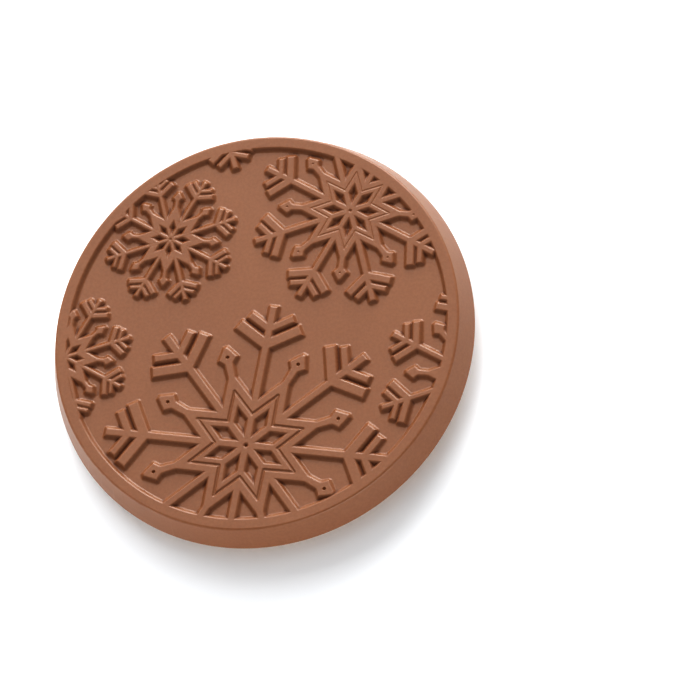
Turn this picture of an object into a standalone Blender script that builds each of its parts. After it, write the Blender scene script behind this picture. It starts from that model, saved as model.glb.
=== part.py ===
"""A milk chocolate disc moulded with snowflakes, with a round golden biscuit set in its back.

It lies with the snowflakes up, on the biscuit's own embossed face. Metres, +Z up, and the disc's
axis is the Z axis. Sizes at the top are in millimetres.
"""

import cmath
import math

import bmesh
import bpy

MM = 0.001

# ---------------------------------------------------------------- driving sizes, millimetres

BACK_RADIUS = 25.4
FACE_RADIUS = 24.35
CHOCOLATE_THICKNESS = 3.75
EDGE_ROUNDING = 0.35
RIM_WIDTH = 1.5
RELIEF_DEPTH = 0.5
RIM_SEGMENTS = 96

BISCUIT_RADIUS = 22.8
BISCUIT_THICKNESS = 4.0
SEATED = 1.0
FIT_GAP = 0.3
RIDGES = 72
RIDGE_DEPTH = 0.45
RIDGES_FROM = 17.4
GROOVE_SHARE = 0.34     # of a ridge's pitch
STAMP_DEPTH = 0.5
RING_SEGMENTS = 60

BACK_HEIGHT = BISCUIT_THICKNESS - SEATED
TOP_HEIGHT = BACK_HEIGHT + CHOCOLATE_THICKNESS
FIELD_HEIGHT = TOP_HEIGHT - RELIEF_DEPTH
FIELD_RADIUS = FACE_RADIUS - RIM_WIDTH
POCKET_RADIUS = BISCUIT_RADIUS + FIT_GAP
POCKET_HEIGHT = BISCUIT_THICKNESS + FIT_GAP

# ---------------------------------------------------------------- the snowflakes

# Each snowflake: centre x, centre y, length of a long arm, turn of the first long arm in degrees.
SNOWFLAKES = (
    (-0.5, -14.0, 17.5, -8.4),
    (10.7, 14.5, 11.9, 16.0),
    (-11.0, 12.2, 8.0, 15.5),
    (-23.2, -1.9, 8.1, 15.0),
    (27.1, -6.7, 12.0, 16.8),
    (-7.2, 32.0, 12.1, 17.5),
)
ENGRAVED = SNOWFLAKES[:2]  # large enough to carry the star's engraved line and the arrowheads' eyes

# Proportions of one snowflake, as shares of a long arm's length.
ARMS = 8
STEM = 0.031           # half width of a long arm
FORK_ANGLE = math.radians(58)
OUTER_FORK = (0.706, 0.260, 0.037)   # where it leaves the arm, its length, its half width
INNER_FORK = (0.821, 0.182, 0.029)
STAR_NOTCH = 0.31      # the star's inner corners, on the long arms
NECK = ((0.50, 0.031), (0.59, 0.033))    # short arm: distance out, half width
BARB = (0.643, 0.069)
ARROW_TIP = 0.747
WINDOW = ((0.068, 0.0), (0.180, 0.0425), (0.278, 0.0))   # the rhombic holes in the star
LINE_INNER = 0.249     # the engraved line's corners on the long arms
LINE_OUTER = 0.410     # and on the short arms
LINE_HALF_WIDTH = 0.22   # millimetres
LINE_DEPTH = 0.22
EYE = 0.655
EYE_RADIUS = 0.22
EYE_DEPTH = 0.25
EYE_SIDES = 6

# ---------------------------------------------------------------- the biscuit's stamped face

RING_GROOVE = (15.85, 16.85)   # inner and outer radius
STAMP_FIELD_RADIUS = 15.35
BOSS_RADIUS = 2.6
LEAVES = 10
LEAF_FROM, LEAF_TO = 5.2, 13.6
LEAF_HALF_WIDTH = 1.7
LEAF_STEPS = 4
DOT_RADIUS = 0.75
DOT_OUT = 12.4
DOT_SIDES = 8

# Clearance by which a cutter passes the surface that it cuts.
PAST = 1.0


def clear_scene():
    for old in list(bpy.data.objects):
        bpy.data.objects.remove(old, do_unlink=True)


def finish(name, colour, roughness):
    """A Principled BSDF material."""
    material = bpy.data.materials.new(name)
    material.use_nodes = True
    shader = material.node_tree.nodes["Principled BSDF"]
    shader.inputs["Base Color"].default_value = (*colour, 1.0)
    shader.inputs["Roughness"].default_value = roughness
    shader.inputs["Metallic"].default_value = 0.0
    return material


def new_object(name, bm, material=None):
    """Puts a bmesh drawn in millimetres into the scene, with its faces turned outward."""
    bmesh.ops.recalc_face_normals(bm, faces=bm.faces)
    bmesh.ops.scale(bm, vec=(MM, MM, MM), verts=bm.verts)
    mesh = bpy.data.meshes.new(name)
    bm.to_mesh(mesh)
    bm.free()
    made = bpy.data.objects.new(name, mesh)
    bpy.context.scene.collection.objects.link(made)
    if material:
        mesh.materials.append(material)
    return made


def as_cutter(made):
    made.hide_render = True
    made.display_type = "WIRE"
    return made


def boolean(made, other, operation="DIFFERENCE"):
    modifier = made.modifiers.new(other.name, "BOOLEAN")
    modifier.operation = operation
    modifier.solver = "EXACT"
    modifier.object = other


def circle(radius, sides, centre=0j, start=0.0):
    """Points of a regular outline, as complex numbers."""
    return [centre + cmath.rect(radius, start + math.tau * k / sides) for k in range(sides)]


def add_prism(bm, outline, low, high):
    """Adds an upright prism over an outline of complex numbers."""
    base = bm.faces.new([bm.verts.new((point.real, point.imag, low)) for point in outline])
    top = bmesh.ops.extrude_face_region(bm, geom=[base])["geom"]
    moved = [item for item in top if isinstance(item, bmesh.types.BMVert)]
    bmesh.ops.translate(bm, vec=(0, 0, high - low), verts=moved)


def add_turned(bm, profile, segments):
    """Adds a profile of (radius, height) points turned round the Z axis."""
    corners = [bm.verts.new((radius, 0, height)) for radius, height in profile]
    edges = [bm.edges.new(pair) for pair in zip(corners, corners[1:])]
    if profile[0][0] > 0:
        edges.append(bm.edges.new((corners[-1], corners[0])))
    bmesh.ops.spin(bm, geom=corners + edges, cent=(0, 0, 0), axis=(0, 0, 1),
                   angle=math.tau, steps=segments)
    bmesh.ops.remove_doubles(bm, verts=bm.verts, dist=0.0005)


# ---------------------------------------------------------------- snowflake outlines


def meet(point, direction, other, other_direction):
    """Where two lines cross."""
    across = (direction.conjugate() * other_direction).imag
    return point + direction * ((other - point).conjugate() * other_direction).imag / across


def fork_sides(fork):
    """A fork's outer and inner side: a point on each, and the corners at its end."""
    leaves_arm, length, half_width = fork
    along = cmath.rect(1, FORK_ANGLE)
    across = along * 1j * half_width
    foot = complex(leaves_arm, 0)
    end = foot + along * length
    return along, foot - across, foot + across, end - across, end + across


def half_arm():
    """From the tip of a long arm, along +X, to just before the short arm's point."""
    along, inner_far, inner_near, inner_end_far, inner_end_near = fork_sides(INNER_FORK)
    _, outer_far, outer_near, outer_end_far, outer_end_near = fork_sides(OUTER_FORK)
    side = complex(0, STEM)
    short = cmath.rect(1, math.pi / ARMS)
    neck = [complex(out, -half_width) * short for out, half_width in (*NECK, BARB)]
    notch = complex(STAR_NOTCH, 0)
    return [
        1 + side,
        meet(side, 1 + 0j, inner_far, along),
        inner_end_far,
        inner_end_near,
        meet(side, 1 + 0j, inner_near, along),
        meet(side, 1 + 0j, outer_far, along),
        outer_end_far,
        outer_end_near,
        meet(side, 1 + 0j, outer_near, along),
        meet(side, 1 + 0j, notch, neck[0] - notch),
        *neck,
    ]


def snowflake_outline():
    """One snowflake with long arms of length 1, the first along +X."""
    short = cmath.rect(1, math.pi / ARMS)
    half = half_arm()
    mirrored = [(point / short).conjugate() * short for point in reversed(half)]
    eighth = [*half, ARROW_TIP * short, *mirrored]
    return [point * cmath.rect(1, math.tau * k / ARMS) for k in range(ARMS) for point in eighth]


def windows():
    """The star's rhombic holes."""
    far_side = [(out, -half_width) for out, half_width in reversed(WINDOW[1:-1])]
    one = [complex(out, half_width) for out, half_width in (*WINDOW, *far_side)]
    turns = [cmath.rect(1, math.tau * (k + 0.5) / ARMS) for k in range(ARMS)]
    return [[point * turn for point in one] for turn in turns]


def place(outline, snowflake):
    x, y, size, turn = snowflake
    return [complex(x, y) + point * cmath.rect(size, math.radians(turn)) for point in outline]


def engraved_line(bm, snowflake):
    """Adds a V-shaped ring that follows the star's zigzag."""
    x, y, size, turn = snowflake
    past = 1 + PAST / LINE_DEPTH
    rings = []
    for offset, height in ((0.0, TOP_HEIGHT - LINE_DEPTH),
                           (LINE_HALF_WIDTH * past, TOP_HEIGHT + PAST),
                           (-LINE_HALF_WIDTH * past, TOP_HEIGHT + PAST)):
        ring = []
        for k in range(2 * ARMS):
            reach = size * (LINE_OUTER if k % 2 else LINE_INNER) + offset
            point = complex(x, y) + cmath.rect(reach, math.radians(turn) + math.pi * k / ARMS)
            ring.append(bm.verts.new((point.real, point.imag, height)))
        rings.append(ring)
    for ring, following in zip(rings, rings[1:] + rings[:1]):
        for k in range(2 * ARMS):
            bm.faces.new((ring[k - 1], ring[k], following[k], following[k - 1]))


def eyes(bm, snowflake):
    """Adds one small pit for each arrowhead."""
    x, y, size, turn = snowflake
    for k in range(ARMS):
        angle = math.radians(turn) + math.tau * (k + 0.5) / ARMS
        centre = complex(x, y) + cmath.rect(EYE * size, angle)
        if abs(centre) + EYE_RADIUS < FIELD_RADIUS:
            add_prism(bm, circle(EYE_RADIUS, EYE_SIDES, centre), TOP_HEIGHT - EYE_DEPTH, TOP_HEIGHT + PAST)


# ---------------------------------------------------------------- the chocolate


def snowflake_cutters():
    """What is sunk into the face: the field round the snowflakes, and their windows."""
    flat = snowflake_outline()
    bm = bmesh.new()
    for snowflake in SNOWFLAKES:
        add_prism(bm, place(flat, snowflake), FIELD_HEIGHT - PAST, TOP_HEIGHT + 2 * PAST)
    raised = as_cutter(new_object("raised_snowflakes", bm))

    bm = bmesh.new()
    add_prism(bm, circle(FIELD_RADIUS, RIM_SEGMENTS), FIELD_HEIGHT, TOP_HEIGHT + PAST)
    field = as_cutter(new_object("sunk_field", bm))
    boolean(field, raised)

    bm = bmesh.new()
    for snowflake in SNOWFLAKES:
        for window in windows():
            add_prism(bm, place(window, snowflake), FIELD_HEIGHT, TOP_HEIGHT + PAST)
    holes = as_cutter(new_object("star_windows", bm))

    bm = bmesh.new()
    add_prism(bm, circle(FIELD_RADIUS, RIM_SEGMENTS), FIELD_HEIGHT - PAST, TOP_HEIGHT + 2 * PAST)
    inside_rim = as_cutter(new_object("inside_rim", bm))
    boolean(holes, inside_rim, "INTERSECT")

    bm = bmesh.new()
    for snowflake in ENGRAVED:
        engraved_line(bm, snowflake)
    lines = as_cutter(new_object("engraved_lines", bm))

    bm = bmesh.new()
    for snowflake in ENGRAVED:
        eyes(bm, snowflake)
    pits = as_cutter(new_object("arrow_eyes", bm))
    return field, holes, lines, pits


def make_chocolate():
    r = EDGE_ROUNDING
    lean = (BACK_RADIUS - FACE_RADIUS) / CHOCOLATE_THICKNESS
    bevel = 0.3 * r
    profile = [
        (0, TOP_HEIGHT),
        (FACE_RADIUS - r, TOP_HEIGHT),
        (FACE_RADIUS - 0.3 * r, TOP_HEIGHT - 0.3 * r),
        (FACE_RADIUS + lean * r, TOP_HEIGHT - r),
        (BACK_RADIUS, BACK_HEIGHT + bevel),
        (BACK_RADIUS - bevel, BACK_HEIGHT),
        (POCKET_RADIUS, BACK_HEIGHT),
        (POCKET_RADIUS, POCKET_HEIGHT),
        (0, POCKET_HEIGHT),
    ]
    bm = bmesh.new()
    add_turned(bm, profile, RIM_SEGMENTS)
    chocolate = new_object("chocolate", bm, finish("milk_chocolate", (0.31, 0.125, 0.068), 0.42))
    for cutter in snowflake_cutters():
        boolean(chocolate, cutter)
    return chocolate


# ---------------------------------------------------------------- the biscuit


def ridged_disc(bm):
    """A disc with radial ridges round its lower face and side, and a plain upper edge."""
    edge = BISCUIT_RADIUS
    crest = [(RIDGES_FROM, 0), (RIDGES_FROM + 0.5, 0), (edge - 1.7, 0), (edge - 0.45, 0.55),
             (edge, 1.5), (edge, BISCUIT_THICKNESS - 0.3), (edge - 0.4, BISCUIT_THICKNESS)]
    groove = [(RIDGES_FROM, 0), (RIDGES_FROM + 0.5, RIDGE_DEPTH), (edge - 1.8, RIDGE_DEPTH),
              (edge - 0.75, 0.9), (edge - RIDGE_DEPTH, 1.6), *crest[5:]]
    step = math.tau / RIDGES
    share = GROOVE_SHARE * step / 2
    columns = []
    for k in range(RIDGES):
        for profile, angle in ((crest, k * step - step + share), (crest, k * step - share),
                               (groove, k * step)):
            turn = cmath.rect(1, angle)
            columns.append([bm.verts.new((radius * turn.real, radius * turn.imag, height))
                            for radius, height in profile])
    for column, following in zip(columns, columns[1:] + columns[:1]):
        for row in range(len(crest) - 1):
            bm.faces.new((column[row], column[row + 1], following[row + 1], following[row]))
    bm.faces.new([column[0] for column in columns])
    bm.faces.new([column[-1] for column in columns])


def leaf_outline():
    """A pointed oval along +X, its two sides shaped by a sine."""
    length = LEAF_TO - LEAF_FROM
    side = [complex(LEAF_FROM + length * k / LEAF_STEPS,
                    LEAF_HALF_WIDTH * math.sin(math.pi * (k / LEAF_STEPS) ** 1.3))
            for k in range(LEAF_STEPS + 1)]
    return [point.conjugate() for point in side] + side[-2:0:-1]


def stamp_cutters():
    """What is pressed into the biscuit's face: a plain ring, and the field round the leaves."""
    inner, outer = RING_GROOVE
    bm = bmesh.new()
    add_turned(bm, [(inner, -PAST), (outer, -PAST), (outer, STAMP_DEPTH), (inner, STAMP_DEPTH)],
               RING_SEGMENTS)
    ring = as_cutter(new_object("stamped_ring", bm))

    bm = bmesh.new()
    leaf = leaf_outline()
    add_prism(bm, circle(BOSS_RADIUS, 2 * LEAVES), -2 * PAST, STAMP_DEPTH + PAST)
    for k in range(LEAVES):
        turn = cmath.rect(1, math.tau * k / LEAVES)
        add_prism(bm, [point * turn for point in leaf], -2 * PAST, STAMP_DEPTH + PAST)
        centre = cmath.rect(DOT_OUT, math.tau * (k + 0.5) / LEAVES)
        add_prism(bm, circle(DOT_RADIUS, DOT_SIDES, centre), -2 * PAST, STAMP_DEPTH + PAST)
    raised = as_cutter(new_object("raised_leaves", bm))

    bm = bmesh.new()
    add_prism(bm, circle(STAMP_FIELD_RADIUS, RING_SEGMENTS), -PAST, STAMP_DEPTH)
    field = as_cutter(new_object("stamped_field", bm))
    boolean(field, raised)
    return ring, field


def make_biscuit():
    bm = bmesh.new()
    ridged_disc(bm)
    biscuit = new_object("biscuit", bm, finish("golden_biscuit", (0.86, 0.62, 0.36), 0.75))
    for cutter in stamp_cutters():
        boolean(biscuit, cutter)
    return biscuit


def main():
    clear_scene()
    make_chocolate()
    make_biscuit()


main()
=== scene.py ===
# %% [markdown]
# # A moulded chocolate and biscuit round
# A milk chocolate disc is cast in a mould cut with snowflakes, and while it is still soft a round
# golden biscuit is pressed into its back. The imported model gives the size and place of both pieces.
# Here each of them gets its real surface: a finely cut relief for the chocolate, and ridges, a
# stamped face and a crumb for the biscuit.

# %% Load the frame
import math

import bmesh
import bpy
import numpy as np
from mathutils import Matrix, Vector
from mathutils.geometry import normal


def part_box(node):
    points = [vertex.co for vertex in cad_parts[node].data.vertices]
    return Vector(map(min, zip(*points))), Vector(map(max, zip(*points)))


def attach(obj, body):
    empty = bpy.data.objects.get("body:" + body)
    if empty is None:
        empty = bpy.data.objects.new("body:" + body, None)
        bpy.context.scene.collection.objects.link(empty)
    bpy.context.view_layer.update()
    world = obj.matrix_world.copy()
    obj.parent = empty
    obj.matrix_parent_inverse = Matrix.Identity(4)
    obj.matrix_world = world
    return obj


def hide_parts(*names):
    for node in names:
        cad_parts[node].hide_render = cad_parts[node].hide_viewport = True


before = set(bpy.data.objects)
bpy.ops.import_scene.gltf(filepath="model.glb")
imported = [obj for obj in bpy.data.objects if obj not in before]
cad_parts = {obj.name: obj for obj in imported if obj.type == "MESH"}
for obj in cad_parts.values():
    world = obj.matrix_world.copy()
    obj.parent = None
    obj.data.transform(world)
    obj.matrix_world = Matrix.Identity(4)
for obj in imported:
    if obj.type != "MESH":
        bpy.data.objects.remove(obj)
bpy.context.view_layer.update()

MM = 0.001

# %% [markdown]
# ## Sizes
# Every size is in millimetres and starts from the two solids' boxes: the chocolate's width at its
# back, the heights at which it starts and ends, and the biscuit's width and thickness. The rest are
# the maker's own sizes, such as how deep the mould is cut.

# %% Sizes
chocolate_low, chocolate_high = (np.array(corner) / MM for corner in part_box("chocolate"))
biscuit_low, biscuit_high = (np.array(corner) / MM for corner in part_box("biscuit"))

WITHIN = 0.002                    # how far the finished surface stays inside the solids
FACE_SHARE = 0.9618               # the face is that much narrower, so that the mould lets go
BACK_RADIUS = (chocolate_high[0] - chocolate_low[0]) / 2 - WITHIN
FACE_RADIUS = FACE_SHARE * BACK_RADIUS
BACK_HEIGHT = chocolate_low[2]
TOP_HEIGHT = chocolate_high[2] - WITHIN
BISCUIT_RADIUS = (biscuit_high[0] - biscuit_low[0]) / 2
BISCUIT_TOP = biscuit_high[2]
FIELD_RADIUS = 22.66
RELIEF_DEPTH = 0.42
EDGE_ROUNDING = 0.3
print("chocolate", BACK_RADIUS, BACK_HEIGHT, TOP_HEIGHT, "biscuit", BISCUIT_RADIUS, BISCUIT_TOP)

# %% [markdown]
# ## One snowflake as a distance
# A relief can be modelled edge by edge, or cut by a formula. Here a formula tells how far each point
# of the face lies inside (above zero) or outside (below zero) a snowflake's outline, and a second
# step turns that distance into a height. The snowflake has eight equal arms, so the formula folds
# the plane like paper: first round the centre into one wedge, then over the arm's own axis.

# %% One snowflake
ARMS = 8
HALF_TURN = math.pi / ARMS
STEM = 0.0388                     # half width of a long arm at its foot, with that arm's length as 1
FORK_ANGLE = math.radians(59.9)
OUTER_FORK = (0.715, 0.262, 0.0480)  # where it leaves the arm, its length, its half width
INNER_FORK = (0.826, 0.1876, 0.0375)
STAR_NOTCH = 0.320
ARROW = ((0.5005, 0.0362), (0.5947, 0.0391), (0.6398, 0.0781), (0.759, 0.0))
BLUNT_TIP = 0.736
WINDOW = ((0.103, 0.0), (0.180, 0.033), (0.254, 0.0))
BEYOND = 1.2                      # outlines are carried on to here, past the snowflake's own edge
LINE_CORNERS = (0.222, 0.400)     # the engraved line: on the long arms, on the short arms
EYE = 0.649
CUTTER = 0.197                    # millimetres: the radius that the mould's cutter leaves in a corner
BAR_CORNER = 0.9                  # the largest corner on a bar, as a share of its half width
ARROW_CORNER = 0.7                # shares of the cutter's radius
WINDOW_CORNER = 0.35
CREASE = (0.5, 0.2)               # how widely a tapered shape's crease is rounded, and let in again
FILLET = 0.12                     # millimetres: how far two bars flow together where they meet


def soft_max(a, b, blend):
    """The larger of two values, with the corner where they cross rounded: where they differ by less
    than the blend, the square of what is left of it over four blends is added."""
    lap = np.maximum(blend - np.abs(a - b), 0)
    return np.maximum(a, b) + lap**2 / (4 * blend)


def soft_min(a, b, blend):
    """The smaller of two values, with the corner where they cross rounded."""
    return -soft_max(-a, -b, blend)


def bar_inside(x, y, x_from, x_to, half_width, corner):
    """Distance inside a bar along x with rounded corners: a bar that is smaller by the corner's
    radius all round, and the distance to it taken from that radius."""
    beyond_x = np.abs(x - (x_from + x_to) / 2) - (x_to - x_from) / 2 + corner
    beyond_y = np.abs(y) - half_width + corner
    outside = np.hypot(np.maximum(beyond_x, 0), np.maximum(beyond_y, 0))
    return corner - (outside + np.minimum(np.maximum(beyond_x, beyond_y), 0))


def tapered_inside(x, y, outline, corner):
    """Distance inside a shape whose half width over x is a broken line: the gap to that line times
    the cosine of its slope. The line is averaged over a corner's length to either side, and the
    crease along the axis is rounded by a share of it."""
    along, half_width = np.array(outline).T
    near = [np.interp(x + step * corner, along, half_width) for step in (-1, -0.5, 0, 0.5, 1)]
    slope = (near[4] - near[0]) / (2 * corner)
    across = np.hypot(y, CREASE[0] * corner) - CREASE[1] * corner
    return (sum(near) / 5 - across) / np.hypot(1, slope)


def snowflake_inside(x, y, size):
    """Distances in millimetres: how far inside the snowflake, how far from its engraved line, and how
    far from the middle of the nearest eye."""
    radius, angle = np.hypot(x, y) / size, np.arctan2(y, x)
    folded = np.abs((angle + HALF_TURN) % (2 * HALF_TURN) - HALF_TURN)
    long_x, long_y = radius * np.cos(folded), radius * np.sin(folded)
    short_x, short_y = radius * np.cos(HALF_TURN - folded), radius * np.sin(HALF_TURN - folded)
    blend, corner = FILLET / size, CUTTER / size

    inside = bar_inside(long_x, long_y, 0.0, 1.0, STEM, min(corner, BAR_CORNER * STEM))
    for leaves_arm, length, half_width in (OUTER_FORK, INNER_FORK):
        foot_x = long_x - leaves_arm
        along = foot_x * math.cos(FORK_ANGLE) + long_y * math.sin(FORK_ANGLE)
        across = long_y * math.cos(FORK_ANGLE) - foot_x * math.sin(FORK_ANGLE)
        rounding = min(corner, BAR_CORNER * half_width)
        inside = soft_max(inside, bar_inside(along, across, -0.01, length, half_width, rounding), blend)

    star_corner = (STAR_NOTCH * math.cos(HALF_TURN), STAR_NOTCH * math.sin(HALF_TURN))
    tip, shoulder = ARROW[3][0], ARROW[2]
    past_tip = (BEYOND, -shoulder[1] * (BEYOND - tip) / (tip - shoulder[0]))
    outline = ((0, 0), star_corner, *ARROW, past_tip)
    arrow = tapered_inside(short_x, short_y, outline, ARROW_CORNER * corner)
    arrow = soft_min(arrow, BLUNT_TIP - short_x, blend)
    inside = soft_max(inside, arrow, blend)
    start, widest, end = WINDOW
    before = (-1.0, -widest[1] * (1.0 + start[0]) / (widest[0] - start[0]))
    after = (BEYOND, -widest[1] * (BEYOND - end[0]) / (end[0] - widest[0]))
    window = tapered_inside(short_x, short_y, (before, widest, after), WINDOW_CORNER * corner)
    inside = np.minimum(inside, -window)

    on_long, on_short = LINE_CORNERS
    step = np.array((on_short * math.cos(HALF_TURN) - on_long, on_short * math.sin(HALF_TURN)))
    share = ((long_x - on_long) * step[0] + long_y * step[1]) / step.dot(step)
    share = np.clip(share, 0, 1)
    from_line = np.hypot(long_x - on_long - share * step[0], long_y - share * step[1])
    from_eye = np.hypot(short_x - EYE, short_y)
    return inside * size, from_line * size, from_eye * size


print("one arm's fork spans", round(OUTER_FORK[1] * math.sin(FORK_ANGLE) * 2, 3), "of its length")

# %% [markdown]
# ## The whole face
# Six snowflakes of three sizes lie over the face, and the rim cuts off those that reach past it.
# Their tops lie level with the rim, as if the mould had one flat floor and the space between was
# left standing. So the rim and the snowflakes join into one outline, and the height follows from
# the distance inside it: low outside, high inside, and between them a straight slope of about
# fifty degrees, so that the chocolate lets go of the mould, rounded at its foot and at its top.

# %% The whole face
# Centre x and y, length of a long arm, turn in degrees, and how far every bar is widened.
SNOWFLAKES = (
    (-0.61, -13.90, 17.49, -8.48, 0.10),
    (10.63, 14.65, 11.92, 15.92, 0.21),
    (-11.00, 12.19, 8.005, 15.51, 0.24),
    (-23.12, -1.89, 8.05, 14.97, 0.24),
    (26.92, -6.64, 12.01, 16.5, 0.18),
    (-7.16, 32.03, 12.093, 17.51, 0.18),
)
ENGRAVED = (1.0, 0.3)           # how deeply the first two are engraved; the rest are too small
LINE_HALF_WIDTH = 0.0125        # of a long arm's length
LINE_DEPTH = 0.15
LINE_STEEPNESS = 1.2
EYE_RADIUS = 0.0125
EYE_DEPTH = 0.24
EYE_STEEPNESS = 1.6
ENGRAVING_ROUNDING = 0.2
FLAKE_REACH = 1.15              # a snowflake is worked out this far from its centre, in arm lengths
RIM_FILLET = 0.08
SLOPE_RUN = 0.36                # the width of a bar's sloping side, if its edges weren't rounded
SLOPE_ROUNDING = 0.37           # the share of that run over which its foot and its top are rounded


def soft_step(value, softness):
    """Rises from 0 to 1 as value does, straight in between and rounded at both ends."""
    return soft_max(soft_min(value, 1.0, softness), 0.0, softness)


def face_inside(x, y):
    """Distance inside the raised parts, and the depth of the engraving, at each point of the face."""
    inside = np.hypot(x, y) - FIELD_RADIUS
    cut = np.zeros_like(x)
    for index, (centre_x, centre_y, size, turn, widening) in enumerate(SNOWFLAKES):
        near = np.nonzero(np.hypot(x - centre_x, y - centre_y) < FLAKE_REACH * size)
        angle = math.radians(turn)
        dx, dy = x[near] - centre_x, y[near] - centre_y
        local_x = dx * math.cos(angle) + dy * math.sin(angle)
        local_y = dy * math.cos(angle) - dx * math.sin(angle)
        flake, from_line, from_eye = snowflake_inside(local_x, local_y, size)
        inside[near] = soft_max(inside[near], flake + widening, RIM_FILLET)
        if index < len(ENGRAVED):
            depth = ENGRAVED[index]
            eye = soft_step(EYE_STEEPNESS * (1 - from_eye / (EYE_RADIUS * size)), ENGRAVING_ROUNDING)
            line = soft_step(LINE_STEEPNESS * (1 - from_line / (LINE_HALF_WIDTH * size)), ENGRAVING_ROUNDING)
            cut[near] = np.maximum(cut[near], EYE_DEPTH * depth * eye)
            cut[near] = np.maximum(cut[near], LINE_DEPTH * depth * line)
    return inside, cut


def raised_share(inside):
    """0 on the field and 1 on a bar's top. A bar's side is a straight slope, hollowed at its foot and
    rounded at its top."""
    return soft_step(inside / SLOPE_RUN, SLOPE_ROUNDING)


def face_height(x, y):
    """The top's height less the relief's depth where nothing is raised, and less the engraving where
    something is."""
    inside, cut = face_inside(x, y)
    raised = raised_share(inside)
    return TOP_HEIGHT - RELIEF_DEPTH * (1 - raised) - cut * raised


sample = np.linspace(-20, 20, 5)
print("heights across the middle", face_height(sample, 0 * sample).round(2))

# %% [markdown]
# ## The chocolate's mesh
# A heightfield on a square grid is the simplest fine surface, but a disc isn't square. The grid's
# points are therefore moved by a formula that squeezes a square into a circle. The outermost ring
# of points then runs down the tapered wall, round the back's edge, and into the seat of the biscuit,
# as a turned profile. Flat chocolate needs few triangles and a carved edge needs many, so a Decimate
# modifier thins the even grid afterwards, and leaves the carving.

# %% Mesh helpers
random = np.random.default_rng(7)


def loop_of_square(n):
    """Indices of an n by n grid's outermost points, anticlockwise from the corner at row 0, column 0."""
    index = np.arange(n * n).reshape(n, n)
    return np.concatenate([index[0, :-1], index[:-1, -1], index[-1, :0:-1], index[:0:-1, 0]])


def mesh_object(name, points, *face_groups):
    """An object from points in millimetres and arrays of faces, one array for each corner count."""
    corners = np.concatenate([group.ravel() for group in face_groups])
    counts = np.concatenate([np.full(len(group), group.shape[1]) for group in face_groups])
    mesh = bpy.data.meshes.new(name)
    mesh.vertices.add(len(points))
    mesh.vertices.foreach_set("co", (points * MM).ravel())
    mesh.loops.add(len(corners))
    mesh.loops.foreach_set("vertex_index", corners.astype(np.int32))
    mesh.polygons.add(len(counts))
    mesh.polygons.foreach_set("loop_start", (np.cumsum(counts) - counts).astype(np.int32))
    mesh.update(calc_edges=True)
    mesh.validate()
    mesh.shade_smooth()
    made = bpy.data.objects.new(name, mesh)
    bpy.context.scene.collection.objects.link(made)
    return made


def slow_waves(orders, amount):
    """A function of the angle: sines that go round the circle so many times each, with random phases,
    and together about that high."""
    phase = random.uniform(0, math.tau, len(orders))
    size = random.uniform(0.4, 1.0, len(orders)) * amount / math.sqrt(len(orders))
    return lambda angle: sum(s * np.sin(order * angle + p) for order, p, s in zip(orders, phase, size))


def lid_quads(n):
    """Faces of an n by n grid seen from above."""
    index = np.arange(n * n).reshape(n, n)
    return np.stack([index[:-1, :-1], index[:-1, 1:], index[1:, 1:], index[1:, :-1]], -1).reshape(-1, 4)


def strip_quads(rings):
    """Faces between rings of indices, each ring running anticlockwise and the next one below it."""
    here, after = rings[:-1], rings[1:]
    beside = np.roll(rings, -1, axis=1)
    return np.stack([here, after, beside[1:], beside[:-1]], -1).reshape(-1, 4)


# %% The chocolate's outline
SEAT_RADIUS = BISCUIT_RADIUS + 0.12
SEAT_HEIGHT = BISCUIT_TOP + 0.1
BACK_RINGS = 9
TOE = 0.22                        # radius of the rounded edge at the back
LIP = 0.14                        # how far soft chocolate was squeezed up against the biscuit
LIP_WIDTH = 1.4
LIP_WAVES = slow_waves((5, 9, 14, 22, 35), 0.6)


def arc(centre_radius, centre_height, rounding, start, end, steps):
    """Points of (radius, height) on an arc, angles in degrees from outward, anticlockwise."""
    angle = np.radians(np.linspace(start, end, steps))
    on_circle = np.stack([np.cos(angle), np.sin(angle)], -1)
    return np.array([centre_radius, centre_height]) + rounding * on_circle


def chocolate_profile():
    """The outline from the face's edge down the wall and in to the biscuit's seat."""
    lean = math.degrees(math.atan2(BACK_RADIUS - FACE_RADIUS, TOP_HEIGHT - BACK_HEIGHT))
    r = EDGE_ROUNDING
    shoulder = arc(FACE_RADIUS - r, TOP_HEIGHT - r, r, 90, lean, 9)[1:]
    toe = arc(BACK_RADIUS - TOE, BACK_HEIGHT + TOE, TOE, lean, -90, 8)
    wall = np.linspace(shoulder[-1], toe[0], 14)[1:-1]
    across = np.linspace(BACK_RADIUS - TOE, SEAT_RADIUS, BACK_RINGS + 1)[1:]
    back = np.stack([across, np.full(BACK_RINGS, BACK_HEIGHT)], -1)
    seat_wall = [(SEAT_RADIUS, BISCUIT_TOP - 0.4), (SEAT_RADIUS, SEAT_HEIGHT)]
    seat = np.array([*seat_wall, (SEAT_RADIUS / 2, SEAT_HEIGHT)])
    return np.concatenate([shoulder, wall, toe, back, seat])


def back_height(x, y):
    """Level, but lower beside the biscuit, by the square of the nearness to it and with slow waves."""
    nearness = np.clip(1 - (np.hypot(x, y) - SEAT_RADIUS) / LIP_WIDTH, 0, 1) ** 2
    return BACK_HEIGHT - LIP * nearness * (1 + LIP_WAVES(np.arctan2(y, x)))


print("outline of", len(chocolate_profile()), "points, seat", round(SEAT_HEIGHT - BACK_HEIGHT, 2), "deep")

# %% The chocolate's mesh
FACE_GRID = 701                   # points along each side of the square
SNAP_REACH = 0.5                  # how far a point is moved at most, in spacings of the grid
SNAP_PROBE = 0.25                 # how far off the slope of the distance is measured, in spacings
LEAST_STEEPNESS = 0.2             # keeps the move small where the distance has a crease
SNAPPED_RADIUS = FIELD_RADIUS + 0.4


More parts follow.
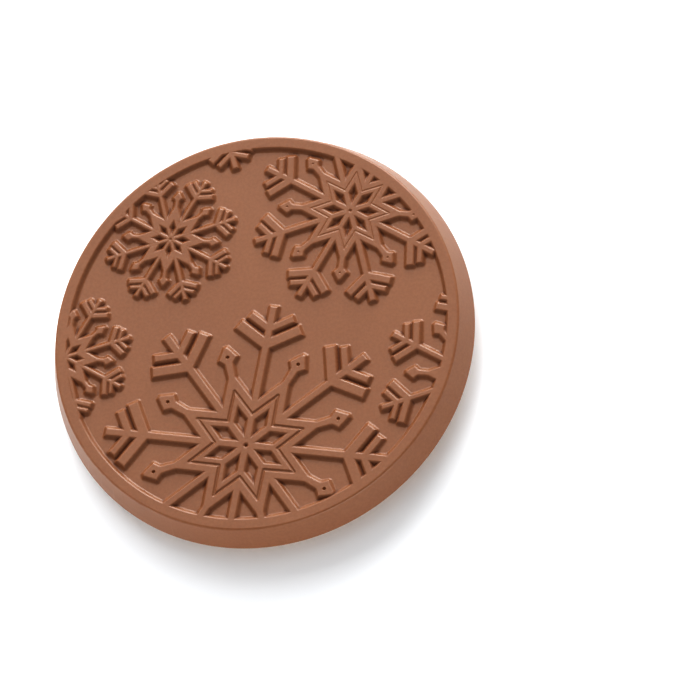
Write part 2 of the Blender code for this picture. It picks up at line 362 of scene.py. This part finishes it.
def snapped(x, y, spacing):
    """Moves the points nearest to a bar's foot or to its shoulder exactly onto that line, down the
    slope of the distance, so that each edge of the relief runs clean."""
    step = SNAP_PROBE * spacing
    inside, _ = face_inside(x, y)
    ahead, above = face_inside(x + step, y)[0], face_inside(x, y + step)[0]
    slope = np.stack([ahead - inside, above - inside]) / step
    steepness = np.maximum((slope**2).sum(0), LEAST_STEEPNESS)
    lines = SLOPE_RUN * np.array([-SLOPE_ROUNDING, 1 + SLOPE_ROUNDING])
    gap = lines[np.abs(lines[:, None] - inside).argmin(0)] - inside
    in_reach = (np.abs(gap) < SNAP_REACH * spacing) & (np.hypot(x, y) < SNAPPED_RADIUS)
    gap = np.where(in_reach, gap, 0)
    return x + gap * slope[0] / steepness, y + gap * slope[1] / steepness


def make_chocolate():
    """Face: height over a square squeezed into a disc, x = u sqrt(1 - v^2 / 2) and y = v sqrt(1 - u^2 / 2).
    Side and back: the profile turned round the axis through the face's own outer points."""
    line = np.linspace(-1, 1, FACE_GRID)
    u, v = np.meshgrid(line, line)
    disc_x, disc_y = u * np.sqrt(1 - v**2 / 2), v * np.sqrt(1 - u**2 / 2)
    flat_radius = FACE_RADIUS - EDGE_ROUNDING
    x, y = (flat_radius * disc_x).ravel(), (flat_radius * disc_y).ravel()
    x, y = snapped(x, y, 2 * flat_radius / FACE_GRID)
    lid = np.stack([x, y, face_height(x, y)], -1)

    rim = loop_of_square(FACE_GRID)
    turn = np.arctan2(y[rim], x[rim])
    profile = chocolate_profile()
    rings = np.stack([
        profile[:, :1] * np.cos(turn),
        profile[:, :1] * np.sin(turn),
        np.broadcast_to(profile[:, 1:], (len(profile), len(turn))),
    ], -1)
    on_back = profile[:, 1] == BACK_HEIGHT
    rings[on_back, :, 2] = back_height(rings[on_back, :, 0], rings[on_back, :, 1])
    points = np.concatenate([lid, rings.reshape(-1, 3), [(0, 0, SEAT_HEIGHT)]])
    ring_index = len(lid) + np.arange(rings[..., 0].size).reshape(rings.shape[:2])
    quads = np.concatenate([lid_quads(FACE_GRID), strip_quads(np.vstack([rim, ring_index]))])
    pole = len(points) - 1
    last = ring_index[-1]
    cap = np.stack([np.roll(last, -1), last, np.full_like(last, pole)], -1)
    return mesh_object("chocolate_relief", points, quads, cap)


chocolate = make_chocolate()
print("chocolate before thinning", len(chocolate.data.polygons), "faces")

# %% [markdown]
# ## Thinning
# Decimate folds away the edges whose loss changes the shape least, so flat areas end with a few
# large triangles and the carving keeps its many. Here and there it leaves a triangle lying upside
# down over its neighbour, which can show as a dark speck. The face is a height over a plane, so such
# a triangle gives itself away by its normal. It is welded shut, or its patch is cut up anew.

# %% Thin the chocolate
MOST_TRIANGLES = 190000


def thin(made, most):
    """Keeps at most that many triangles, and lets large faces decide the normals at their corners."""
    triangles = sum(len(face.vertices) - 2 for face in made.data.polygons)
    decimate = made.modifiers.new("thin", "DECIMATE")
    decimate.ratio = min(1.0, most / triangles)
    made.modifiers.new("weighted", "WEIGHTED_NORMAL").keep_sharp = False
    graph = bpy.context.evaluated_depsgraph_get()
    mesh = bpy.data.meshes.new_from_object(made.evaluated_get(graph), depsgraph=graph)
    made.modifiers.clear()
    made.data = mesh


thin(chocolate, MOST_TRIANGLES)
print("chocolate after thinning", len(chocolate.data.polygons), "faces")

# %% Take out folded triangles
FOLDED = 0.3                      # a triangle of the face whose normal rises less than that is folded
ROUNDS = 9                        # folds that touch each other are taken out in different rounds
LOWEST_CUT = TOP_HEIGHT - RELIEF_DEPTH - LINE_DEPTH


def is_folded(face):
    """Whether a face of the moulded relief, inside its rounded edge, is upside down or on edge."""
    if face.normal.z >= FOLDED:
        return False
    x, y, z = face.calc_center_median() / MM
    return math.hypot(x, y) < FACE_RADIUS - EDGE_ROUNDING and z > LOWEST_CUT


def best_weld(face):
    """The best way to lose a folded triangle: one of its corners welded onto another, such that the
    triangles left round it all face up as much as they can. None if no way keeps the surface whole."""
    best, best_up = None, FOLDED
    for gone in face.verts:
        around = [other for other in gone.link_faces if other != face]
        for kept in face.verts:
            ends = [{edge.other_vert(end) for edge in end.link_edges} for end in (gone, kept)]
            if kept == gone or len(ends[0] & ends[1]) != 2:
                continue
            left = [[kept.co if v == gone else v.co for v in f.verts] for f in around if kept not in f.verts]
            up = min((normal(corners).z for corners in left), default=FOLDED)
            if up > best_up:
                best, best_up = (gone, kept), up
    return best


def unfold(made):
    """Welds each folded triangle away. Where no weld will do, it joins the triangle with its
    neighbours and cuts the patch up anew. Each round leaves out those that lie beside one it has
    taken, and the next round looks at them again."""
    shape = bmesh.new()
    shape.from_mesh(made.data)
    for _ in range(ROUNDS):
        welds, patches, touched = {}, [], set()
        for face in filter(is_folded, shape.faces):
            near = {v for corner in face.verts for f in corner.link_faces for v in f.verts}
            if near & touched:
                continue
            touched |= near
            weld = best_weld(face)
            if weld:
                welds[weld[0]] = weld[1]
            else:
                patches += dict.fromkeys(other for edge in face.edges for other in edge.link_faces)
        joined = bmesh.ops.dissolve_faces(shape, faces=patches, use_verts=True)["region"]
        bmesh.ops.triangulate(shape, faces=joined)
        bmesh.ops.weld_verts(shape, targetmap={a: b for a, b in welds.items() if a.is_valid and b.is_valid})
        shape.normal_update()
    print(sum(map(is_folded, shape.faces)), "folded triangles left of", len(shape.faces), "faces")
    shape.to_mesh(made.data)
    shape.free()


unfold(chocolate)

# %% [markdown]
# ## Normals and gaps
# A large flat triangle that ends at a rounded edge would shade as if it bent. Weighting the normals
# by area is enough for the turned side, but not for the carving. The height is a formula, so its
# slope is known everywhere, and each corner of a triangle is given the normal of the surface there.
# The narrow gaps between bars get a mark as well. Little light should find its way in, and the
# material reads the mark to make them darker than the lamps alone would.

# %% Corner normals
INWARD = 0.2                      # how far in from its corner towards its middle a face is read
PROBE = 0.01                      # how far off the slope of the height is measured


def corners_of(mesh):
    """For each face's corner: where it is, where the middle of its face is, and its vertex's number."""
    vertex = np.empty(len(mesh.loops), np.int32)
    mesh.loops.foreach_get("vertex_index", vertex)
    points = np.empty(3 * len(mesh.vertices), np.float32)
    mesh.vertices.foreach_get("co", points)
    middles = np.empty(3 * len(mesh.polygons), np.float32)
    mesh.polygons.foreach_get("center", middles)
    sides = np.empty(len(mesh.polygons), np.int32)
    mesh.polygons.foreach_get("loop_total", sides)
    corner = points.reshape(-1, 3)[vertex].astype(float) / MM
    return corner, np.repeat(middles.reshape(-1, 3), sides, axis=0).astype(float) / MM, vertex


def follow_formula(made):
    """Corner normals from the height's slope, read a little inward from each corner, so that a wall
    and the flat beside it each keep their own."""
    mesh = made.data
    corner, centre, _ = corners_of(mesh)
    normals = np.empty(3 * len(corner), np.float32)
    mesh.corner_normals.foreach_get("vector", normals)
    normals = normals.reshape(-1, 3).astype(float)

    from_axis, high = np.hypot(centre[:, 0], centre[:, 1]), centre[:, 2]
    face = (from_axis < FACE_RADIUS - EDGE_ROUNDING) & (high > LOWEST_CUT)
    back = (from_axis > SEAT_RADIUS) & (from_axis < BACK_RADIUS - TOE) & (high < BACK_HEIGHT + 0.1)
    for chosen, height, side in ((face, face_height, 1), (back, back_height, -1)):
        x, y = ((1 - INWARD) * corner + INWARD * centre)[chosen, :2].T
        slope_x = (height(x + PROBE, y) - height(x - PROBE, y)) / (2 * PROBE)
        slope_y = (height(x, y + PROBE) - height(x, y - PROBE)) / (2 * PROBE)
        up = side / np.sqrt(1 + slope_x**2 + slope_y**2)
        normals[chosen] = np.stack([-slope_x * up, -slope_y * up, up], -1)
    mesh.normals_split_custom_set(normals)
    print("normals from the formula at", (face | back).sum(), "of", len(corner), "corners")


follow_formula(chocolate)

# %% Marks for painted shade in the narrow gaps
GAP_REACH = 0.42                  # how far to each side a gap's walls are looked for
GAP_DIRECTIONS = 8
GAP_FADE = (1.6, 2.0)             # a corner keeps the first, less the second for each reach to the middle


# The mark is for painted shade: the material darkens the narrow gaps by it, beyond what the lamps do.
def mark_gap_shade(made):
    """Stores how deep each corner lies in a narrow gap, as a share of the relief: the lower of the two
    rises on opposite sides of it, from the pair of directions where that is highest. Corners of large
    faces get less, because a large face reaches out of the gap."""
    corner, centre, vertex = corners_of(made.data)
    points = np.zeros((len(made.data.vertices), 3))
    points[vertex] = corner
    x, y, z = points.T
    here = raised_share(face_inside(x, y)[0])
    depth = np.zeros(len(x))
    for angle in np.arange(GAP_DIRECTIONS) * math.pi / GAP_DIRECTIONS:
        step_x, step_y = GAP_REACH * math.cos(angle), GAP_REACH * math.sin(angle)
        one_side = raised_share(face_inside(x + step_x, y + step_y)[0])
        other_side = raised_share(face_inside(x - step_x, y - step_y)[0])
        depth = np.maximum(depth, np.minimum(one_side, other_side) - here)
    share = np.clip(depth, 0, 1) * (z > LOWEST_CUT)
    to_middle = np.linalg.norm(corner - centre, axis=1) / GAP_REACH
    share = share[vertex] * np.clip(GAP_FADE[0] - GAP_FADE[1] * to_middle, 0, 1)
    mark = made.data.attributes.new("gap", "FLOAT", "CORNER")
    mark.data.foreach_set("value", share.astype(np.float32))
    print("gap marks on", (share > 0.5).sum(), "corners")


mark_gap_shade(chocolate)
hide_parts("chocolate")
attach(chocolate, "root")

# %% [markdown]
# ## The biscuit
# The biscuit lies face down, so its stamped side is the underside of the whole piece. It is round,
# so its surface is a function of the angle and of the way along a profile from the middle of the
# stamped face, out over the ridges, up the side and back to the middle on top. Pressed dough is
# never exact: each ridge gets its own depth and place, and slow waves bend the whole surface.

# %% The biscuit's sizes
RIDGES = 72
RIDGE_DEPTH = 0.5
RIDGES_FROM = 17.4
RIDGE_FADE = 0.7             # how far out from there a ridge reaches its full depth
RING_GROOVE = (15.85, 16.85, 0.42)   # inner and outer radius, depth
STAMP_RADIUS = 15.35
STAMP_DEPTH = 0.5
STAMP_ROUNDING = 0.22
LEAVES = 10
LEAF = (5.2, 13.6, 1.7)      # from, to, half width
LEAF_FULLNESS = 1.3          # over 1, the leaf is widest past its middle
DOT = (12.4, 0.75)           # distance out, radius
VEIN = (0.22, 0.14)          # half width, depth
VEIN_FADE = 0.6              # the vein fades out this near to the leaf's edge
BOSS_RADIUS = 2.6
LEAF_RUN, STAMP_RUN, GROOVE_RUN = 0.5, 0.45, 0.4   # how far their walls lean
CREST_BREADTH = 0.55         # under 1, a ridge is broad and its valley narrow
COLUMNS_PER_RIDGE = 10


def raised_by(inside, run):
    """From 0 beside a stamped shape to 1 on it, over that run."""
    return soft_step(inside / run + 0.5, STAMP_ROUNDING)


def leaf_ring(radius, angle):
    """Distance inside the nearest leaf, dot or boss, and a leaf's vein from 0 beside it to 1 on it.
    A leaf's half width is a sine of the share of its length, raised to a power first."""
    pitch = math.tau / LEAVES
    folded = (angle + pitch / 2) % pitch - pitch / 2
    x, y = radius * np.cos(folded), radius * np.sin(folded)
    start, end, half_width = LEAF
    share = np.clip((x - start) / (end - start), 0, 1)
    leaf = half_width * np.sin(math.pi * share**LEAF_FULLNESS) - np.abs(y)
    leaf = np.minimum(leaf, np.minimum(x - start, end - x))
    between = (angle % pitch) - pitch / 2
    out, dot_radius = DOT
    dot = dot_radius - np.hypot(radius * np.cos(between) - out, radius * np.sin(between))
    boss = BOSS_RADIUS - radius
    vein = np.where(leaf > 0, np.exp(-((y / VEIN[0]) ** 2)) * np.clip(leaf / VEIN_FADE, 0, 1), 0)
    return np.maximum(np.maximum(leaf, dot), boss), vein


def ridge_valley(angle):
    """0 on a ridge's crest and 1 in the valley: one minus the cosine's size, raised to a power. Slow
    waves shift each ridge a little."""
    shifted = angle + slow_waves((5, 9, 14, 23), 0.012)(angle)
    return 1 - np.abs(np.cos(RIDGES * shifted / 2)) ** CREST_BREADTH


print("biscuit with", RIDGES, "ridges and", LEAVES, "leaves")

# %% The biscuit's outline
EDGE_RADIUS = BISCUIT_RADIUS - 0.12   # room for the unevenness
SHOULDER_FROM = 20.9         # where the underside starts to curve up
SHOULDER_HEIGHT = 1.5
POLE_RADIUS = 0.05           # the first and last ring, which a cap closes


def biscuit_profile():
    """Radius and height from the middle of the stamped face to the middle of the top. The stamped
    part has the finest steps, and the shoulder is a quarter of an ellipse."""
    stamped, border = np.linspace(POLE_RADIUS, 15.2, 74), np.linspace(STAMP_RADIUS, 17.9, 19)
    face = np.concatenate([stamped, border, np.linspace(18.2, SHOULDER_FROM, 9)])
    face = np.stack([face, np.zeros_like(face)], -1)
    quarter = np.radians(np.linspace(-90, 0, 13))[1:]
    shoulder_r = SHOULDER_FROM + (EDGE_RADIUS - SHOULDER_FROM) * np.cos(quarter)
    shoulder = np.stack([shoulder_r, SHOULDER_HEIGHT * (1 + np.sin(quarter))], -1)
    side = np.stack([np.full(5, EDGE_RADIUS), np.linspace(1.8, BISCUIT_TOP - 0.4, 5)], -1)
    top_r = np.array([EDGE_RADIUS - 0.4, EDGE_RADIUS / 2, POLE_RADIUS])
    top = np.stack([top_r, np.full_like(top_r, BISCUIT_TOP)], -1)
    return np.concatenate([face, shoulder, side, top])


print("outline of", len(biscuit_profile()), "points")

# %% The biscuit's mesh
def stamped_depth(radius, turn):
    """How deep the stamped face is pressed in: fully inside the ring groove except on the leaves, the
    dots and the boss, plus the leaves' veins and the groove itself."""
    raised, vein = leaf_ring(radius, turn)
    inner = 1 - raised_by(radius - STAMP_RADIUS, STAMP_RUN)
    pressed = STAMP_DEPTH * inner * (1 - raised_by(raised, LEAF_RUN)) + VEIN[1] * vein * inner
    start, end, depth = RING_GROOVE
    return pressed + depth * raised_by(radius - start, GROOVE_RUN) * raised_by(end - radius, GROOVE_RUN)


def ridge_depth(radius, height, turn):
    """How deep the valleys between the ridges are: faded in from the border's inner edge and out
    towards the chocolate, each with its own depth by slow waves."""
    share = np.clip((radius - RIDGES_FROM) / RIDGE_FADE, 0, 1)
    fade = share**2 * (3 - 2 * share) * np.clip((BACK_HEIGHT + 0.2 - height) / 0.8, 0, 1)
    valley = ridge_valley(turn) * (1 + slow_waves((3, 7, 11, 19, 31), 0.35)(turn))
    return RIDGE_DEPTH * fade * valley * (radius > RIDGES_FROM)


def golden_share(pressed, valley):
    """How much browner the surface is: in the valleys, a little on the pressed ground, and most on
    the walls halfway down, from the share of the depth times what is left of it."""
    share = np.clip(pressed / STAMP_DEPTH, 0, 1)
    return valley / RIDGE_DEPTH + np.maximum(3.2 * share * (1 - share), 0.22 * share)


def make_biscuit():
    """Profile turned through the columns, then pushed in along its normal by the stamped pattern."""
    profile = biscuit_profile()
    angle = np.arange(RIDGES * COLUMNS_PER_RIDGE) * math.tau / (RIDGES * COLUMNS_PER_RIDGE)
    radius, turn = np.meshgrid(profile[:, 0], angle, indexing="ij")
    height = np.broadcast_to(profile[:, 1:], radius.shape).copy()

    pressed = np.where(height < 0.01, stamped_depth(radius, turn), 0)
    valley = ridge_depth(radius, height, turn)
    slope = np.gradient(profile, axis=0)
    slope /= np.linalg.norm(slope, axis=1, keepdims=True)
    inward_r, inward_z = -slope[:, 1:], slope[:, :1]
    swell = 0.06 * (1 - np.cos(4 * turn + 1)) * np.clip(height, 0, 1) * (height < BACK_HEIGHT)
    depth = pressed + valley
    radius = radius + inward_r * depth - swell
    height = height + np.abs(inward_z) * depth * (height < 2)
    points = np.stack([radius * np.cos(turn), radius * np.sin(turn), height], -1)

    rows, columns = radius.shape
    index = np.arange(rows * columns).reshape(rows, columns)
    quads = strip_quads(index[:, ::-1])
    low_pole, high_pole = rows * columns, rows * columns + 1
    first, last = index[0], index[-1]
    caps = np.concatenate([
        np.stack([np.roll(first, -1), first, np.full(columns, low_pole)], -1),
        np.stack([last, np.roll(last, -1), np.full(columns, high_pole)], -1),
    ])
    points = np.concatenate([points.reshape(-1, 3), [(0, 0, 0.0), (0, 0, BISCUIT_TOP)]])
    made = mesh_object("biscuit_stamped", points, quads, caps)
    golden = np.concatenate([golden_share(pressed, valley).ravel(), [0, 0]])
    attribute = made.data.attributes.new("pressed", "FLOAT", "POINT")
    attribute.data.foreach_set("value", np.clip(golden, 0, 1.5))
    return made


biscuit = make_biscuit()
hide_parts("biscuit")
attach(biscuit, "root")
print("biscuit", len(biscuit.data.polygons), "faces")

# %% [markdown]
# ## Shader maths as expressions
# Node trees are quick to draw by hand but slow to read back. Here a small class wraps a socket, so
# that an expression such as 1 - mask adds the Math node that it needs, and one method adds any other
# node from its type, its settings and its inputs.

# %% Shader helpers


class Value:
    """A number that varies over the surface. Arithmetic on it adds Math nodes."""

    def __init__(self, finish, socket):
        self.finish, self.socket = finish, socket

    def _math(self, operation, first, second):
        node = self.finish.node("ShaderNodeMath", {"operation": operation}, {0: first, 1: second})
        return Value(self.finish, node.outputs[0])

    def __add__(self, other):
        return self._math("ADD", self, other)

    def __rsub__(self, other):
        return self._math("SUBTRACT", other, self)

    def __mul__(self, other):
        return self._math("MULTIPLY", self, other)

    __radd__, __rmul__ = __add__, __mul__

    def between(self, low, high):
        """0 at low or under, 1 at high or over, and smooth between."""
        settings = {"interpolation_type": "SMOOTHSTEP"}
        inputs = {"Value": self, "From Min": low, "From Max": high}
        node = self.finish.node("ShaderNodeMapRange", settings, inputs)
        return Value(self.finish, node.outputs["Result"])


class Finish:
    """A material under construction."""

    def __init__(self, name):
        self.material = bpy.data.materials.new(name)
        self.material.use_nodes = True
        self.tree = self.material.node_tree
        self.shader = self.tree.nodes["Principled BSDF"]

    def plug(self, socket, given):
        """Links a socket or a Value, and writes a number or a colour into the socket itself."""
        given = given.socket if isinstance(given, Value) else given
        if isinstance(given, bpy.types.NodeSocket):
            self.tree.links.new(given, socket)
        else:
            socket.default_value = given

    def node(self, kind, settings=None, inputs=None):
        made = self.tree.nodes.new(kind)
        for key, setting in (settings or {}).items():
            setattr(made, key, setting)
        for key, given in (inputs or {}).items():
            self.plug(made.inputs[key], given)
        return made

    def place(self):
        """Where a point lies on the object, in metres."""
        return self.node("ShaderNodeTexCoord").outputs["Object"]

    def noise(self, size, detail=2.0, roughness=0.5):
        """Soft noise from 0 to 1 whose blobs are about that many millimetres wide."""
        inputs = {"Vector": self.place(), "Scale": 1 / (size * MM), "Detail": detail, "Roughness": roughness}
        return Value(self, self.node("ShaderNodeTexNoise", None, inputs).outputs["Fac"])

    def attribute(self, name):
        return Value(self, self.node("ShaderNodeAttribute", {"attribute_name": name}).outputs["Fac"])

    def mix(self, share, low, high):
        """A colour between two, by a share. The node's colours are its inputs 6 and 7, output 2."""
        low, high = (c if isinstance(c, bpy.types.NodeSocket) else (*c, 1.0) for c in (low, high))
        made = self.node("ShaderNodeMix", {"data_type": "RGBA"}, {"Factor": share, 6: low, 7: high})
        return made.outputs[2]

    def bump(self, height, distance):
        """Shading normals from a height of 0 to 1 that stands for that many millimetres."""
        inputs = {"Height": height, "Distance": distance * MM, "Strength": 1.0}
        return self.node("ShaderNodeBump", None, inputs).outputs["Normal"]

    def set(self, **sockets):
        for name, given in sockets.items():
            self.plug(self.shader.inputs[name.replace("_", " ")], given)
        return self.material


def wear(piece, material):
    piece.data.materials.clear()
    piece.data.materials.append(material)
    print(piece.name, "wears", material.name)


# %% [markdown]
# ## Milk chocolate
# Tempered chocolate from a polished mould is satin: brown and a little see-through underneath, with a
# weak even gloss on top. The colour only drifts by a few hundredths over the disc, so the life comes
# from the gloss: its roughness changes slowly and a very fine grain breaks it up. The marked gaps
# between the bars are mixed towards a deep brown and made matt, so that they read as shade.

# %% Milk chocolate
DARKER_MILK = (0.200, 0.088, 0.042)
LIGHTER_MILK = (0.226, 0.103, 0.050)
# painted shade: the deep brown that the narrow gaps between bars are darkened towards
GAP_SHADE_BROWN = (0.060, 0.012, 0.001)


def milk_chocolate():
    finish = Finish("milk_chocolate")
    drift = finish.noise(9.0, 3.0)
    grain = finish.noise(0.35, 3.0, 0.6)
    cloud = finish.noise(4.0, 2.0)
    mottle = 0.4 * drift.between(0.3, 0.7) + 0.6 * grain.between(0.35, 0.65)
    # painted shade: the gap mark darkens the narrow gaps between bars towards a deep brown and makes them
    # matt
    gap = finish.attribute("gap")
    finish.set(
        Base_Color=finish.mix(gap * 0.97, finish.mix(mottle, DARKER_MILK, LIGHTER_MILK), GAP_SHADE_BROWN),
        Roughness=0.31 + 0.05 * cloud + 0.05 * grain + 0.4 * gap,
        Normal=finish.bump(grain * 0.5 + drift * 2.0, 0.012),
    )
    return finish.set(
        IOR=1.5,
        Subsurface_Weight=0.12,
        Subsurface_Radius=(1.0, 0.45, 0.25),
        Subsurface_Scale=0.5 * MM,
    )


wear(chocolate, milk_chocolate())

# %% [markdown]
# ## Baked biscuit
# The biscuit is pale gold on its crests and browner down in the grooves and halfway down the walls of its
# stamped pattern. The mesh carries how deep each point is pressed, and the colour follows it. A fine crumb
# and a few darker specks of caramelised sugar break up the surface.

# %% Baked biscuit
BISCUIT_CREST = (0.70, 0.550, 0.420)
PALER_CREST = (0.77, 0.630, 0.500)
GROOVE_BROWN = (0.62, 0.36, 0.17)
CARAMEL = (0.50, 0.30, 0.15)


def baked_biscuit():
    finish = Finish("golden_biscuit")
    pressed = finish.attribute("pressed")
    patch = finish.noise(5.0, 4.0)
    crumb = finish.noise(0.5, 5.0, 0.65)
    speck = finish.noise(0.9, 2.0).between(0.68, 0.78)
    crest = finish.mix(patch.between(0.3, 0.7), BISCUIT_CREST, PALER_CREST)
    # darker by depth: browner in the grooves and most halfway down the stamped walls
    baked = finish.mix(1 - pressed.between(0.15, 1.0), GROOVE_BROWN, crest)
    finish.set(
        Base_Color=finish.mix(speck * 0.3, baked, CARAMEL),
        Roughness=0.72 + 0.15 * crumb,
        Normal=finish.bump(crumb + patch * 0.5, 0.12),
    )
    return finish.set(
        IOR=1.4,
        Subsurface_Weight=0.1,
        Subsurface_Radius=(1.0, 0.6, 0.3),
        Subsurface_Scale=0.8 * MM,
    )


wear(biscuit, baked_biscuit())

# %% [markdown]
# ## The studio
# The camera looks down on the disc from a little over sixty degrees, from the side where the wall
# shows, and it is turned about its own axis so that the large snowflake stands upright in the frame.
# A long lens keeps the disc's two axes in their true ratio. Relief is modelled by light that grazes
# it: two broad lamps stand behind the disc, one higher and one low, so that every slope that faces
# them is bright and every slope that faces away is dark. Two strips of light just above the floor
# light the disc's side and leave its face alone, and a pale surround fills the shadows. A view with
# strong contrast then brings out the carving.

# %% Camera
TILT = math.radians(25.5)          # between the disc's axis and the line of sight
SIDE = math.radians(-52.5)         # the direction from which the camera looks, round the axis
DISTANCE = 3.0                     # metres
FRAME_WIDTH = 81.56                # millimetres across the frame at the disc
AIM = (10.9, -2.0)                 # from the disc's middle to the frame's, right and up


def camera_axes():
    """Right, up and backward of a camera tipped about the level line across its side of the disc."""
    toward = np.array([math.cos(SIDE), math.sin(SIDE), 0])
    level = np.array([-math.sin(SIDE), math.cos(SIDE), 0])
    tipped = toward * math.cos(TILT) - np.array([0, 0, math.sin(TILT)])
    right = tipped * math.cos(SIDE) - level * math.sin(SIDE)
    up = tipped * math.sin(SIDE) + level * math.cos(SIDE)
    return right, up, np.cross(right, up)


def add_camera():
    """Stands the camera on the line of sight through the face's middle and points it at the aim."""
    right, up, back = camera_axes()
    face = np.array([0, 0, TOP_HEIGHT * MM])
    place = face + back * DISTANCE
    aim = face + (right * AIM[0] + up * AIM[1]) * MM
    back = (place - aim) / np.linalg.norm(place - aim)
    right = np.cross(up, back)
    right /= np.linalg.norm(right)
    axes = Matrix(np.stack([right, np.cross(back, right), back], -1).tolist()).to_4x4()
    data = bpy.data.cameras.new("camera")
    data.lens = data.sensor_width * DISTANCE / (FRAME_WIDTH * MM)
    data.clip_start, data.clip_end = 0.1, 30
    made = bpy.data.objects.new("camera", data)
    made.matrix_world = Matrix.Translation(Vector(place)) @ axes
    bpy.context.scene.collection.objects.link(made)
    bpy.context.scene.camera = made
    return made


camera = add_camera()
print("lens", round(camera.data.lens), "mm")

# %% Floor
FLOOR_HALF_WIDTH = 3               # metres
PALE_FLOOR = (0.90, 0.925, 0.95)
PALER_FLOOR = (0.92, 0.945, 0.97)


def pale_floor():
    finish = Finish("pale_floor")
    cloud = finish.noise(60.0, 2.0)
    colour = finish.mix(cloud, PALE_FLOOR, PALER_FLOOR)
    return finish.set(Base_Color=colour, Roughness=0.9, Specular_IOR_Level=0.2)


def add_floor():
    corners = np.array([(-1, -1, 0), (1, -1, 0), (1, 1, 0), (-1, 1, 0)]) * FLOOR_HALF_WIDTH / MM
    floor = mesh_object("floor", corners, np.array([[0, 1, 2, 3]]))
    wear(floor, pale_floor())


add_floor()

# %% Light
LIGHT_DISTANCE = 1.0               # metres from the disc
LIGHTS = {                         # degrees round from +X and up, metres wide and tall, watts
    "key": (110, 42, 0.8, 0.8, 5.0),
    "crown": (82, 22, 0.7, 0.7, 7.4),
    "near_strip": (300, 0.2, 1.0, 0.006, 3.6),
    "left_strip": (205, 0.2, 0.8, 0.006, 3.0),
}
SURROUND = 0.52


def add_light(name, azimuth, elevation, wide, tall, power):
    """A rectangle of light that looks at the disc's middle from that direction."""
    azimuth, elevation = math.radians(azimuth), math.radians(elevation)
    level = math.cos(elevation)
    way = Vector((math.cos(azimuth) * level, math.sin(azimuth) * level, math.sin(elevation)))
    data = bpy.data.lights.new(name, "AREA")
    data.shape, data.energy = "RECTANGLE", power
    data.size, data.size_y = wide, tall
    made = bpy.data.objects.new(name, data)
    made.location = way * LIGHT_DISTANCE
    made.rotation_euler = way.to_track_quat("Z", "Y").to_euler()
    bpy.context.scene.collection.objects.link(made)


def add_surround(strength):
    world = bpy.data.worlds.new("surround")
    world.use_nodes = True
    world.node_tree.nodes["Background"].inputs["Color"].default_value = (1, 1, 1, 1)
    world.node_tree.nodes["Background"].inputs["Strength"].default_value = strength
    bpy.context.scene.world = world


for name, (azimuth, elevation, wide, tall, power) in LIGHTS.items():
    add_light(name, azimuth, elevation, wide, tall, power)
add_surround(SURROUND)
bpy.context.scene.view_settings.view_transform = "Standard"
bpy.context.scene.view_settings.look = "Very High Contrast"
print(len(LIGHTS), "lights, view", bpy.context.scene.view_settings.look)
